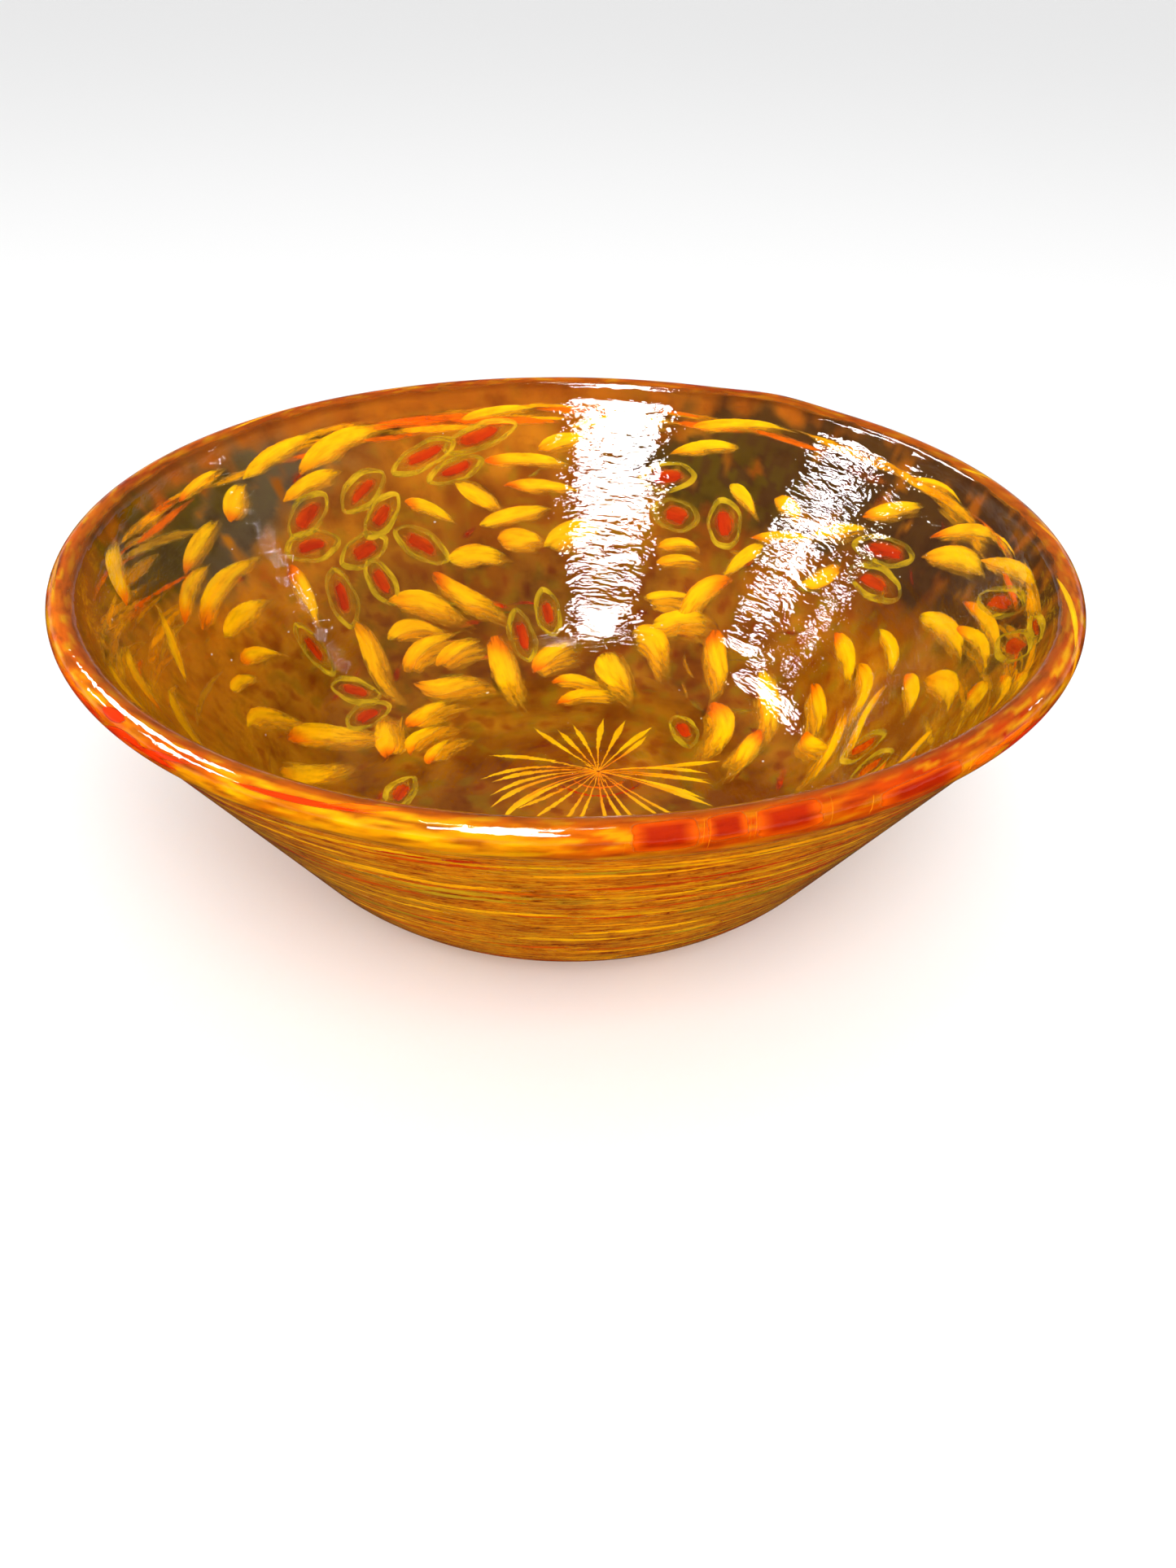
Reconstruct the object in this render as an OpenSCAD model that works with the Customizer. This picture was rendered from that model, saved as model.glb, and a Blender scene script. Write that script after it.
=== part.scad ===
// Blown art glass bowl: a flared bowl built up from fused layers of glass.
// From the inside out the wall is a clear lining, a layer of pattern pieces set in
// brown ground glass, and an amber casing with trailed streaks. A wrapped lip closes the rim.
// Origin: centre of the flat base, +Z up. Millimetres.

/* [Bowl] */
// Outside diameter at the lip
rim_d = 250; // [220:5:290]
// Height from the base to the top of the lip
height = 88; // [80:1:100]
// Angle of the side above the horizontal
side_angle = 57.5; // [54:0.5:60]
// Radius of the outside turn from the base to the side
turn_r = 38.5; // [34:0.5:42]

/* [Wall] */
// Thickness of the streaked casing on the side
casing_t = 2.4; // [2:0.1:3]
// Thickness of the pattern layer on the side
pattern_t = 2; // [1.5:0.1:2.5]
// Thickness of the clear lining on the side
lining_t = 1.4; // [1:0.1:2]
// Thickness of the casing under the floor
floor_casing_t = 3.4; // [3:0.1:5]
// Thickness of the clear lining over the floor
floor_lining_t = 4; // [3:0.1:6]

/* [Lip] */
// Height of the lip wrap along the side
lip_h = 13; // [11:0.5:16]
// Radius of the rolled bead that tops the lip
bead_r = 3.7; // [3.4:0.1:4.2]

/* [Pattern] */
// Wall of the green ring round each red core
ring_wall = 1.3; // [0.9:0.1:1.6]
// Number of threads in the star on the floor
star_count = 24; // [16:2:28]
// Longest thread of the star
star_r = 38; // [30:1:40]

/* [Streaks] */
// Number of trailed streaks in the casing
streak_count = 30; // [12:2:32]
// Width of a streak along the side
streak_w = 1.4; // [0.8:0.1:1.5]
// Depth of a streak below the outside
streak_depth = 0.9; // [0.5:0.1:1.2]

/* [Hidden] */
$fn = 96;
fuse = 0.02; // clearance that keeps neighbouring solids from sharing space
wall_t = casing_t + pattern_t + lining_t;
bead_y = wall_t / 2;
bead_x = -(bead_y * cos(side_angle) + bead_r) / sin(side_angle);
// Radius of the outside side line, carried up to the full height
side_top_r = rim_d / 2 - (bead_x * cos(side_angle) - bead_y * sin(side_angle) + bead_r);
seal_r = 9;
seal_t = 2.2;
star_centre = [7, 1];
prism_h = 14;
turn_steps = 6;

// A nested surface of the wall is [depth on the side, height of its floor, radius of its turn].
outside = [0, 0, turn_r];
casing_in = [casing_t, floor_casing_t, turn_r - 2];
pattern_in = [casing_t + pattern_t, floor_casing_t + pattern_t, turn_r - 3.4];
lining_in = [wall_t, floor_casing_t + pattern_t + floor_lining_t, turn_r - 5];
pattern_mid = (casing_in + pattern_in) / 2;

function turn_centre(s) = [
    side_top_r + ((s[1] + s[2] - height) * cos(side_angle) - s[0] - s[2]) / sin(side_angle),
    s[1] + s[2]
];
function turn_length(s) = s[2] * side_angle * PI / 180;

// Radius, height and slope of a surface at a distance along it from the axis
function on_surface(s, along) =
    let (c = turn_centre(s), past = along - c[0], turn = past / s[2] * 180 / PI)
    past < 0 ? [along, s[1], 0]
    : turn < side_angle ? [c[0] + s[2] * sin(turn), c[1] - s[2] * cos(turn), turn]
    : let (rest = past - turn_length(s))
      [c[0] + s[2] * sin(side_angle) + rest * cos(side_angle),
       c[1] - s[2] * cos(side_angle) + rest * sin(side_angle), side_angle];

// Pattern pieces are laid as [angle round the bowl, distance up the wall from the
// centre of the floor, heading, length, width]. A heading of 0 runs round the bowl
// and 90 runs up the wall.
petal_rows = [
    ["petals_rim_right", [
        [4, 157, -6, 29, 6], [359, 152, -14, 27, 6], [23, 156, -10, 26, 6],
        [13, 149, -20, 22, 5], [11, 142, -14, 24, 7], [29, 144, -29, 17, 6],
        [-32, 153, -10, 18, 5], [-29, 146, -8, 20, 5]]],
    ["petals_right", [
        [-6, 139, -4, 27, 4], [-8, 134, -8, 26, 4], [-23, 135, -12, 15, 8],
        [1, 128, -6, 24, 6], [-12, 122, -12, 21, 9], [-23, 113, 72, 12, 8],
        [-4, 112, 8, 14, 8], [10, 112, 18, 17, 6]]],
    ["petals_low_right", [
        [1, 98, 61, 18, 5], [9, 98, 32, 19, 7], [19, 101, 25, 17, 8],
        [4, 85, 40, 16, 5], [17, 85, 34, 16, 6], [8, 78, 0, 13, 7]]],
    ["petals_floor_right", [
        [30, 76, 38, 23, 10], [19, 61, 44, 15, 8], [35, 57, 39, 20, 9]]],
    ["petals_back_right", [
        [36, 117, -41, 14, 8], [36, 132, -25, 18, 5], [47, 123, -15, 16, 4],
        [48, 132, 20, 10, 6], [57, 131, 32, 11, 5], [53, 112, -52, 14, 7],
        [66, 107, -8, 13, 4], [67, 112, -5, 12, 4]]],
    ["petals_rim_back", [
        [66, 144, -8, 20, 5], [60, 154, -9, 30, 6], [81, 150, -4, 26, 5],
        [101, 154, -7, 26, 6]]],
    ["petals_low_back_right", [
        [57, 99, -52, 16, 7], [67, 95, -12, 15, 4], [63, 87, -12, 16, 6],
        [50, 80, 64, 18, 9], [68, 77, 25, 15, 8]]],
    ["petals_back", [
        [91, 143, -12, 15, 6], [98, 137, 4, 22, 6], [95, 128, 6, 22, 6],
        [108, 127, 39, 12, 7], [117, 123, 35, 17, 6], [100, 119, -9, 24, 6]]],
    ["petals_mid_back", [
        [89, 112, -17, 17, 9], [100, 111, 4, 13, 8], [110, 106, 9, 16, 9],
        [116, 98, 41, 17, 7], [126, 95, 25, 20, 7], [142, 89, 85, 18, 9],
        [150, 112, -84, 14, 8]]],
    ["petals_low_back", [
        [130, 87, 10, 16, 6], [128, 79, -16, 20, 5], [121, 76, -16, 15, 5],
        [109, 69, 88, 19, 9], [129, 66, 33, 18, 9], [95, 68, -35, 15, 7]]],
    ["petals_floor_back", [
        [75, 64, 51, 18, 10], [88, 57, -5, 13, 6], [86, 47, -23, 14, 6]]],
    ["petals_floor_left", [
        [141, 57, 5, 17, 7], [159, 59, -22, 17, 7], [155, 49, 0, 14, 5],
        [158, 42, 1, 12, 4]]],
    ["petals_rim_left", [
        [164, 140, -12, 22, 7], [137, 141, -6, 22, 6], [152, 145, -29, 13, 9],
        [130, 149, -9, 28, 7], [140, 153, -10, 28, 6], [156, 155, -11, 20, 5],
        [183, 151, -27, 18, 7]]],
    ["petals_left", [
        [166, 126, -4, 28, 7], [172, 132, -9, 22, 5], [166, 117, 4, 20, 8],
        [187, 131, -38, 18, 6], [169, 106, 27, 16, 6], [178, 106, 21, 14, 5],
        [183, 96, 35, 18, 6]]],
    ["petals_low_left", [
        [174, 78, 44, 23, 10], [188, 80, 37, 19, 8]]],
    ["petals_front_left", [
        [203, 141, -12, 24, 7], [214, 149, -9, 26, 6], [221, 139, 6, 18, 8],
        [207, 126, -8, 22, 6], [221, 128, 34, 15, 7], [231, 119, -12, 20, 7],
        [212, 108, 24, 18, 7], [228, 103, 40, 16, 8], [208, 91, 32, 18, 8]]],
    ["petals_front", [
        [252, 150, -10, 28, 7], [272, 146, -6, 24, 6], [288, 153, -12, 26, 6],
        [243, 135, -20, 16, 8], [297, 139, -16, 22, 7], [262, 98, 78, 15, 9],
        [282, 104, -8, 20, 6], [296, 113, -38, 15, 8], [248, 92, 12, 18, 7],
        [274, 84, -16, 18, 6]]],
    ["petals_front_right", [
        [308, 147, -14, 22, 7], [312, 132, -8, 22, 6], [318, 121, -16, 18, 8],
        [308, 99, 34, 18, 7], [322, 104, 56, 14, 8], [318, 86, 28, 18, 8],
        [297, 91, -14, 16, 6], [338, 97, 38, 16, 6]]],
    ["petals_floor_front", [
        [210, 66, 38, 18, 8], [232, 74, 30, 18, 8], [252, 68, -28, 16, 7],
        [278, 63, 6, 16, 8], [300, 70, 40, 18, 8], [330, 72, 44, 18, 8],
        [348, 62, 52, 16, 8]]],
];

// Cells of green ring and red core, laid as the petals are
cell_groups = [
    ["flower_left", [
        [129, 135, -25, 15, 8], [141, 133, -23, 15, 8], [127, 126, -35, 14, 7],
        [143, 124, 7, 15, 8], [133, 117, -9, 14, 8], [121, 114, 41, 15, 8],
        [132, 106, 78, 12, 8], [142, 106, -78, 14, 9]]],
    ["flower_back", [
        [116, 142, -17, 18, 7], [106, 146, -15, 20, 7], [111, 136, -15, 15, 6],
        [59, 122, 59, 12, 10], [69, 122, 4, 12, 9], [72, 134, -10, 14, 8]]],
    ["flower_right", [
        [-18, 156, -20, 18, 7], [-17, 147, -24, 18, 7], [-4, 146, -22, 18, 7],
        [26, 133, -12, 18, 7], [24, 124, -4, 18, 8]]],
    ["flower_low", [
        [-15, 96, -68, 14, 8], [-6, 93, -64, 14, 7], [95, 86, 79, 12, 7],
        [102, 78, 84, 14, 7], [39, 47, 29, 13, 7], [186, 48, 22, 12, 7],
        [152, 79, 41, 13, 7], [155, 70, 9, 14, 7], [155, 97, 83, 14, 7]]],
    ["flower_front", [
        [256, 141, -20, 15, 8], [268, 136, -18, 15, 8], [281, 136, -14, 15, 8],
        [255, 128, 20, 15, 8], [267, 126, -8, 15, 8], [280, 126, 30, 15, 8],
        [254, 114, 70, 13, 8], [264, 114, -76, 14, 9], [275, 115, 84, 13, 8]]],
];

// Lip inlays: [start angle, arc] of each red block and [angle, lean] of each yellow slash
lip_blocks = [[238, 9], [276, 7], [285, 8], [297, 9], [330, 10], [352, 12], [30, 9],
    [60, 10], [96, 12], [128, 9], [170, 11], [196, 10], [212, 8]];
lip_slashes = [[228, 66], [262, 72], [316, -58], [344, 64], [18, 70], [48, -62],
    [80, 70], [114, 64], [150, 68], [184, -66]];

// Slices of ground glass: [name, start angle, arc, distance up the wall from, to]
ground_tiles = concat(
    [["ground_floor", 0, 360, 0, 48]],
    [for (k = [1 : 4]) [str("ground_turn_", k), k * 90, 90, 48, 94]],
    [for (k = [1 : 8]) [str("ground_side_", k), k * 45, 45, 94, 200]]
);

function near(t, p) = p[1] > t[3] - p[3] / 2 - 1 && p[1] < t[4] + p[3] / 2 + 1
    && abs((p[0] - t[1] - t[2] / 2 + 720) % 360 - 180)
        > 180 - t[2] / 2 - (p[3] / 2 + 1) / on_surface(pattern_mid, p[1])[0] * 180 / PI;

// Half section of everything inside a nested surface of the wall
module inside_of(s, smooth = false) {
    c = turn_centre(s);
    polygon(concat(
        [[0, s[1]]],
        [for (k = [0 : turn_steps]) let (a = side_angle * k / turn_steps)
            [c[0] + s[2] * sin(a), c[1] - s[2] * cos(a)]],
        [[side_top_r - s[0] / sin(side_angle), height], [0, height]]
    ));
    if (smooth) translate(c) circle(s[2]);
}

// Axes at the top of the side line: x runs up the side and y runs into the wall
module side_frame() {
    translate([side_top_r, height]) rotate(side_angle) children();
}

// Everything above the seat that the lip wrap is laid on
module above_seat() {
    side_frame() translate([-lip_h, -height]) square([2 * height, 3 * height]);
}

// Half section of a layer between two nested surfaces, up to the lip's seat
module layer_section(outer, inner) {
    difference() {
        inside_of(outer, outer == outside);
        inside_of(inner, inner == lining_in);
        above_seat();
    }
}

module layer(outer, inner) {
    rotate_extrude(angle = 360) layer_section(outer, inner);
}

module pattern_section() {
    layer_section(casing_in + [fuse, fuse, 0], pattern_in - [fuse, fuse, 0]);
}

// Half plane on one side of a cut square to the wall: 1 is the rim's side and -1 the floor's
module beside_cut(along, side) {
    p = on_surface(pattern_mid, along);
    translate([p[0], p[1]]) rotate(p[2]) translate([side * 2 * height, 0])
        square(4 * height, center = true);
}

// Pointed leaf with round sides
module leaf(length, width) {
    side_r = (length * length + width * width) / (4 * width);
    intersection() {
        translate([0, side_r - width / 2]) circle(side_r);
        translate([0, width / 2 - side_r]) circle(side_r);
    }
}

// Sets a flat outline upright through the pattern layer where a piece is laid
module laid(piece) {
    p = on_surface(pattern_mid, piece[1]);
    rotate([0, 0, piece[0]]) translate([p[0], 0, p[1]]) rotate([0, -p[2], 0])
        rotate([0, 0, 90 - piece[2]]) linear_extrude(prism_h, center = true) children();
}

module petal_prisms(petals, grow = 0) {
    for (p = petals) laid(p) leaf(p[3] + grow, p[4] + grow);
}

module core_prisms(cells, grow = 0) {
    for (c = cells) laid(c) leaf(c[3] - 2.4 * ring_wall + grow, c[4] - 2 * ring_wall + grow);
}

// One thread of the star: a blade that widens outwards and turns a little
module star_blade(k, grow = 0) {
    reach = star_r * (0.78 + 0.22 * cos(k * 150));
    bend = 4 + 3 * sin(k * 75);
    tip_w = 2.6 + 1.1 * cos(k * 105);
    rotate(k * 360 / star_count) polygon([
        [3.4, -0.2 - grow / 2], [reach * 0.5, bend * 0.55 - 0.5 - grow / 2],
        [reach - 2, bend - tip_w / 2 - grow / 2], [reach + grow, bend + 0.3],
        [reach - 1.6, bend + tip_w / 2 + grow / 2],
        [reach * 0.5, bend * 0.55 + 0.5 + grow / 2], [3.4, 0.2 + grow / 2]
    ]);
}

// The whole star: its blades and the small hub that they were twisted into
module star_outline(grow = 0) {
    translate(star_centre) {
        for (k = [0 : star_count - 1]) star_blade(k, grow);
        circle(4.2 + grow / 2);
    }
}

module star_band(low, high, grow = 0) {
    translate([0, 0, low]) linear_extrude(high - low) star_outline(grow);
}

module clear_lining() color("wheat", 0.35)
    layer(pattern_in, lining_in);

// Ground glass between the pattern pieces, over one slice of the wall
module ground_tile(t) color("saddlebrown", 0.8) difference() {
    rotate([0, 0, t[1] + fuse]) rotate_extrude(angle = t[2] - 2 * fuse) difference() {
        pattern_section();
        beside_cut(t[4] - fuse, 1);
        if (t[3] > 0) beside_cut(t[3] + fuse, -1);
    }
    for (row = petal_rows) petal_prisms([for (p = row[1]) if (near(t, p)) p], 2 * fuse);
    for (group = cell_groups) petal_prisms([for (c = group[1]) if (near(t, c)) c], 2 * fuse);
    if (t[3] == 0) star_band(0, 3 * floor_casing_t, 2 * fuse);
}

module streak_arc(k, grow = 0) {
    arc = 26 + 12 * (k % 4);
    up = -lip_h - 4 - 2.2 * k;
    rotate([0, 0, k * 137.5 - grow]) rotate_extrude(angle = arc + 2 * grow)
        side_frame() translate([up - grow, -1]) square([streak_w + 2 * grow, streak_depth + 1 + grow]);
}

module streaks(first) {
    intersection() {
        layer(outside, casing_in);
        for (k = [first : 2 : streak_count - 1]) streak_arc(k);
    }
}

module red_streaks() color("firebrick", 0.9) streaks(0);

module yellow_streaks() color("gold", 0.9) streaks(1);

module streaked_casing() color("darkorange", 0.8) difference() {
    layer(outside, casing_in);
    for (k = [0 : streak_count - 1]) streak_arc(k, fuse);
    translate([0, 0, -1]) cylinder(h = seal_t + 1 + fuse, r = seal_r + fuse);
}

module punty_seal() color("orangered", 0.9) cylinder(h = seal_t, r = seal_r);

// Half section of the lip: the wall carried up into a rolled bead
module lip_section() {
    side_frame() {
        translate([-lip_h + fuse, 0]) square([lip_h + bead_x - fuse, wall_t]);
        translate([bead_x, bead_y]) circle(bead_r);
    }
}

// Band just under the outside of the lip that holds its inlays
module lip_band(grow = 0) {
    rotate_extrude(angle = 360) side_frame()
        translate([-lip_h + 1.5 - grow, 0.9 - grow]) square([6.4 + 2 * grow, 1.5 + 2 * grow]);
}

module block_wedge(b, grow = 0) {
    rotate([0, 0, b[0] - grow]) rotate_extrude(angle = b[1] + 2 * grow)
        translate([rim_d / 2 - 25, height - 30]) square([50, 40]);
}

module slash_slab(s, grow = 0) {
    rotate([0, 0, s[0]]) translate([rim_d / 2 - 4, 0, height - 7]) rotate([s[1], 0, 0])
        cube([40, 40, 2.6 + 2 * grow], center = true);
}

module lip_red_blocks() color("red", 0.9) intersection() {
    lip_band();
    for (b = lip_blocks) block_wedge(b);
}

module lip_yellow_slashes() color("yellow", 0.9) intersection() {
    lip_band();
    for (s = lip_slashes) slash_slab(s);
}

module lip_wrap() color("orangered", 0.8) difference() {
    rotate_extrude(angle = 360) lip_section();
    intersection() {
        lip_band(fuse);
        union() {
            for (b = lip_blocks) block_wedge(b, fuse);
            for (s = lip_slashes) slash_slab(s, fuse);
        }
    }
}

module star_threads() color("orange")
    star_band(floor_casing_t + fuse, floor_casing_t + pattern_t - fuse);

module petal_row(petals) color("gold") intersection() {
    rotate_extrude(angle = 360) pattern_section();
    petal_prisms(petals);
}

module cell_cores(cells) color("red") intersection() {
    rotate_extrude(angle = 360) pattern_section();
    core_prisms(cells);
}

module cell_rings(cells) color("olivedrab") difference() {
    intersection() {
        rotate_extrude(angle = 360) pattern_section();
        petal_prisms(cells);
    }
    core_prisms(cells, 2 * fuse);
}

clear_lining();
streaked_casing();
punty_seal();
lip_wrap();
lip_red_blocks();
lip_yellow_slashes();
red_streaks();
yellow_streaks();
star_threads();
for (t = ground_tiles)
    ground_tile(t);
for (row = petal_rows)
    petal_row(row[1]);
for (group = cell_groups) {
    cell_cores(group[1]);
    cell_rings(group[1]);
}
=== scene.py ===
import math
import random
import bpy
import bmesh
import numpy as np
from mathutils import Matrix, Quaternion, Vector, noise


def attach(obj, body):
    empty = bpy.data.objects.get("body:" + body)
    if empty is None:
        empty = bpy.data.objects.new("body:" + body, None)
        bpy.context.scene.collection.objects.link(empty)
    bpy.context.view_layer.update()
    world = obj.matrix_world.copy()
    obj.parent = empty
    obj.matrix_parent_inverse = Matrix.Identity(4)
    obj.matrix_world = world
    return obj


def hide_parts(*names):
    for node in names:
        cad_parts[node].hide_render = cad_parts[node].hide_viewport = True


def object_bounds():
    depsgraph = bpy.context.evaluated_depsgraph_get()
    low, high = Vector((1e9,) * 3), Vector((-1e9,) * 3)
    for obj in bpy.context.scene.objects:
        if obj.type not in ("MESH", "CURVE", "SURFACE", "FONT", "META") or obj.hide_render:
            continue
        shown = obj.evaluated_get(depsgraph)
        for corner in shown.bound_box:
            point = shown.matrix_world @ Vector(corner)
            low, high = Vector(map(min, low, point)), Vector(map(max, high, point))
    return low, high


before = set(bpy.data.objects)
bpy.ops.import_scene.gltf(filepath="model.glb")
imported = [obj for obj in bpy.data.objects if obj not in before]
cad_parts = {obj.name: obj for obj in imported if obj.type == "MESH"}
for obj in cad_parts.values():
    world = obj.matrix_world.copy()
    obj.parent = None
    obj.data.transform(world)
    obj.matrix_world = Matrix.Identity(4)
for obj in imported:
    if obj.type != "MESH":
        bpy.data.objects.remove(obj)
cad_lo, cad_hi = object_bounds()
MM = 0.001
RIM = (cad_hi[0] - cad_lo[0]) / 2 / MM
TALL = cad_hi[2] / MM
rng = random.Random(11)

# ---- the wall, in millimetres
SLOPE = math.radians(57.5)  # of the side above the level
SIN, COS = math.sin(SLOPE), math.cos(SLOPE)
WALL = 5.8  # thickness of the side
BEAD = 3.7  # radius of the rounded lip
BEAD_X = -(WALL / 2 * COS + BEAD) / SIN  # its centre, along the side from the top
SIDE_TOP = RIM - (BEAD_X * COS - WALL / 2 * SIN + BEAD)
FLOOR_TOP = 9.4
FLOOR_EDGE = 44  # distance along the pattern layer below which a piece lies on the floor
# nested surfaces: depth below the outside, height of the floor and radius of the turn to the side
OUTSIDE = (0.0, 0.0, 38.5)
INSIDE = (WALL, FLOOR_TOP, 33.5)
MIDDLE = (3.4, 4.4, 35.8)  # the pattern layer


def turn_centre(surface):
    depth, floor_height, turn = surface
    return SIDE_TOP + ((floor_height + turn - TALL) * COS - depth - turn) / SIN, floor_height + turn


def on_surface(surface, along):
    """Radius, height and slope of a nested surface at distances along it from the axis."""
    along = np.asarray(along, float)
    c0, c1 = turn_centre(surface)
    t = surface[2]
    a = np.clip((along - c0) / t, 0, SLOPE)
    rest = np.maximum(along - c0 - t * SLOPE, 0)
    r = np.where(along < c0, along, c0 + t * np.sin(a) + rest * COS)
    z = c1 - t * np.cos(a) + rest * SIN
    return r, z, a


def along_of(r, z):
    """Distance along the pattern layer, from the axis, of the place nearest to (r, z)."""
    c0, c1 = turn_centre(MIDDLE)
    t = MIDDLE[2]
    a = np.arctan2(r - c0, c1 - z)
    side = c0 + t * SLOPE + (r - c0 - t * SIN) * COS + (z - c1 + t * COS) * SIN
    return np.where(r < c0, r, np.where(a < SLOPE, c0 + t * a, side))


def bump_at(phi, centre, width):
    """A smooth hump of height 1 round the bowl, at centre degrees."""
    d = (phi - centre + 180) % 360 - 180
    return np.exp(-((d / width) ** 2))


def warp(p):
    """The bowl's own hand-blown unevenness, shared by every piece: up to 1 or 2 mm, most at the lip."""
    phi = np.degrees(np.arctan2(p[:, 1], p[:, 0])) % 360
    r = np.hypot(p[:, 0], p[:, 1])
    h = np.clip(p[:, 2] / TALL, 0, 1) ** 1.7
    q = np.radians(phi)
    dr = 0.15 * h * np.sin(3 * q)
    dz = h * (0.86 * np.cos(q) - 0.12 * np.sin(2 * q) + 0.32 * np.sin(3 * q - 0.67) + bump_at(phi, 57, 7))
    k = (r + dr) / np.maximum(r, 1e-6)
    return np.c_[p[:, 0] * k, p[:, 1] * k, p[:, 2] + dz]


def wall_point(phi, along, n):
    """Points at angles in degrees, distances up the pattern layer and depths into the wall."""
    r, z, a = on_surface(MIDDLE, along)
    rr = r - n * np.sin(a)
    zz = z + n * np.cos(a)
    p = np.radians(phi)
    return np.stack([rr * np.cos(p), rr * np.sin(p), zz], -1)


def laid_points(base, u, v, n):
    """Points offset u round the bowl and v up the wall from base, a (phi, along) pair."""
    phi0, s0 = base
    if s0 < FLOOR_EDGE:
        p = math.radians(phi0)
        r = on_surface(MIDDLE, s0)[0]
        x = r * math.cos(p) + v * math.cos(p) - u * math.sin(p)
        y = r * math.sin(p) + v * math.sin(p) + u * math.cos(p)
        rho = np.hypot(x, y)
        return wall_point(np.degrees(np.arctan2(y, x)), rho, n)
    r = on_surface(MIDDLE, s0 + v)[0]
    return wall_point(phi0 + np.degrees(u / np.maximum(r, 5)), s0 + v, n)


# ---- meshes
class Build:
    """Gathers swept and woven patches of one piece, with a tint and a fade for each vertex."""

    def __init__(self):
        self.v, self.f, self.tint, self.fade, self.flow, self.mat = [], [], [], [], [], []
        self.count = 0

    def add(self, verts, faces, tint, fade, flow):
        verts = np.asarray(verts, float).reshape(-1, 3)
        m = len(verts)
        self.v.append(verts)
        self.f += [tuple(i + self.count for i in f) for f in faces]
        self.tint.append(np.broadcast_to(np.asarray(tint, float), (m, 3)))
        self.fade.append(np.broadcast_to(np.asarray(fade, float), (m,)))
        self.flow.append(flow)
        self.mat += [0] * len(faces)
        self.count += m

    def add_faces(self, faces, mat):
        """Faces of a material slot of their own, on vertices that add() brings."""
        self.f += faces
        self.mat += [mat] * len(faces)

    def make(self, name, mats, slot, *nodes, thin=True):
        """The finished object; slot is not used. It stands for the CAD nodes, if any are named."""
        v = np.concatenate(self.v)
        me = bpy.data.meshes.new(name)
        me.from_pydata((warp(v) * MM).tolist(), [], self.f)
        tint = np.c_[np.concatenate(self.tint), np.ones(self.count)].astype(np.float32)
        layer = me.color_attributes.new(name="tint", type="FLOAT_COLOR", domain="POINT")
        layer.data.foreach_set("color", tint.ravel())
        layer = me.attributes.new("fade", "FLOAT", "POINT")
        layer.data.foreach_set("value", np.concatenate(self.fade).astype(np.float32))
        layer = me.attributes.new("flow", "FLOAT_VECTOR", "POINT")
        layer.data.foreach_set("vector", np.concatenate(self.flow).astype(np.float32).ravel())
        for m in mats if isinstance(mats, (list, tuple)) else [mats]:
            me.materials.append(m)
        me.polygons.foreach_set("material_index", self.mat)
        me.polygons.foreach_set("use_smooth", [True] * len(me.polygons))
        me.update()
        bm = bmesh.new()
        bm.from_mesh(me)
        bmesh.ops.recalc_face_normals(bm, faces=bm.faces)
        bm.to_mesh(me)
        bm.free()
        if thin:
            shade_along_wall(me, v)
        ob = bpy.data.objects.new(name, me)
        bpy.context.scene.collection.objects.link(ob)
        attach(ob, "root")
        if nodes:
            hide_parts(*nodes)
        return ob


def shade_along_wall(me, v):
    """Gives thin inlays the wall's own shading normals, so that their edges don't shade dark."""
    r = np.hypot(v[:, 0], v[:, 1])
    a = on_surface(MIDDLE, along_of(r, v[:, 2]))[2]
    k = -np.sin(a) / np.maximum(r, 1e-6)
    inward = np.c_[v[:, 0] * k, v[:, 1] * k, np.cos(a)]
    corner = np.empty(len(me.loops), np.int32)
    me.loops.foreach_get("vertex_index", corner)
    totals = np.empty(len(me.polygons), np.int32)
    me.polygons.foreach_get("loop_total", totals)
    facing = np.empty(len(me.polygons) * 3)
    me.polygons.foreach_get("normal", facing)
    facing = np.repeat(facing.reshape(-1, 3), totals, 0)
    side = np.where((facing * inward[corner]).sum(1) < 0, -1.0, 1.0)
    me.normals_split_custom_set((inward[corner] * side[:, None]).tolist())


def sweep_faces(stations, ring, closed=False):
    """Faces of a tube of stations by ring vertices; open tubes end in two tip vertices."""
    faces = []
    for i in range(stations if closed else stations - 1):
        a, b = i * ring, (i + 1) % stations * ring
        for j in range(ring):
            k = (j + 1) % ring
            faces.append((a + j, a + k, b + k, b + j))
    if not closed:
        first, last = stations * ring, stations * ring + 1
        end = (stations - 1) * ring
        for j in range(ring):
            k = (j + 1) % ring
            faces.append((first, k, j))
            faces.append((last, end + j, end + k))
    return faces


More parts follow.
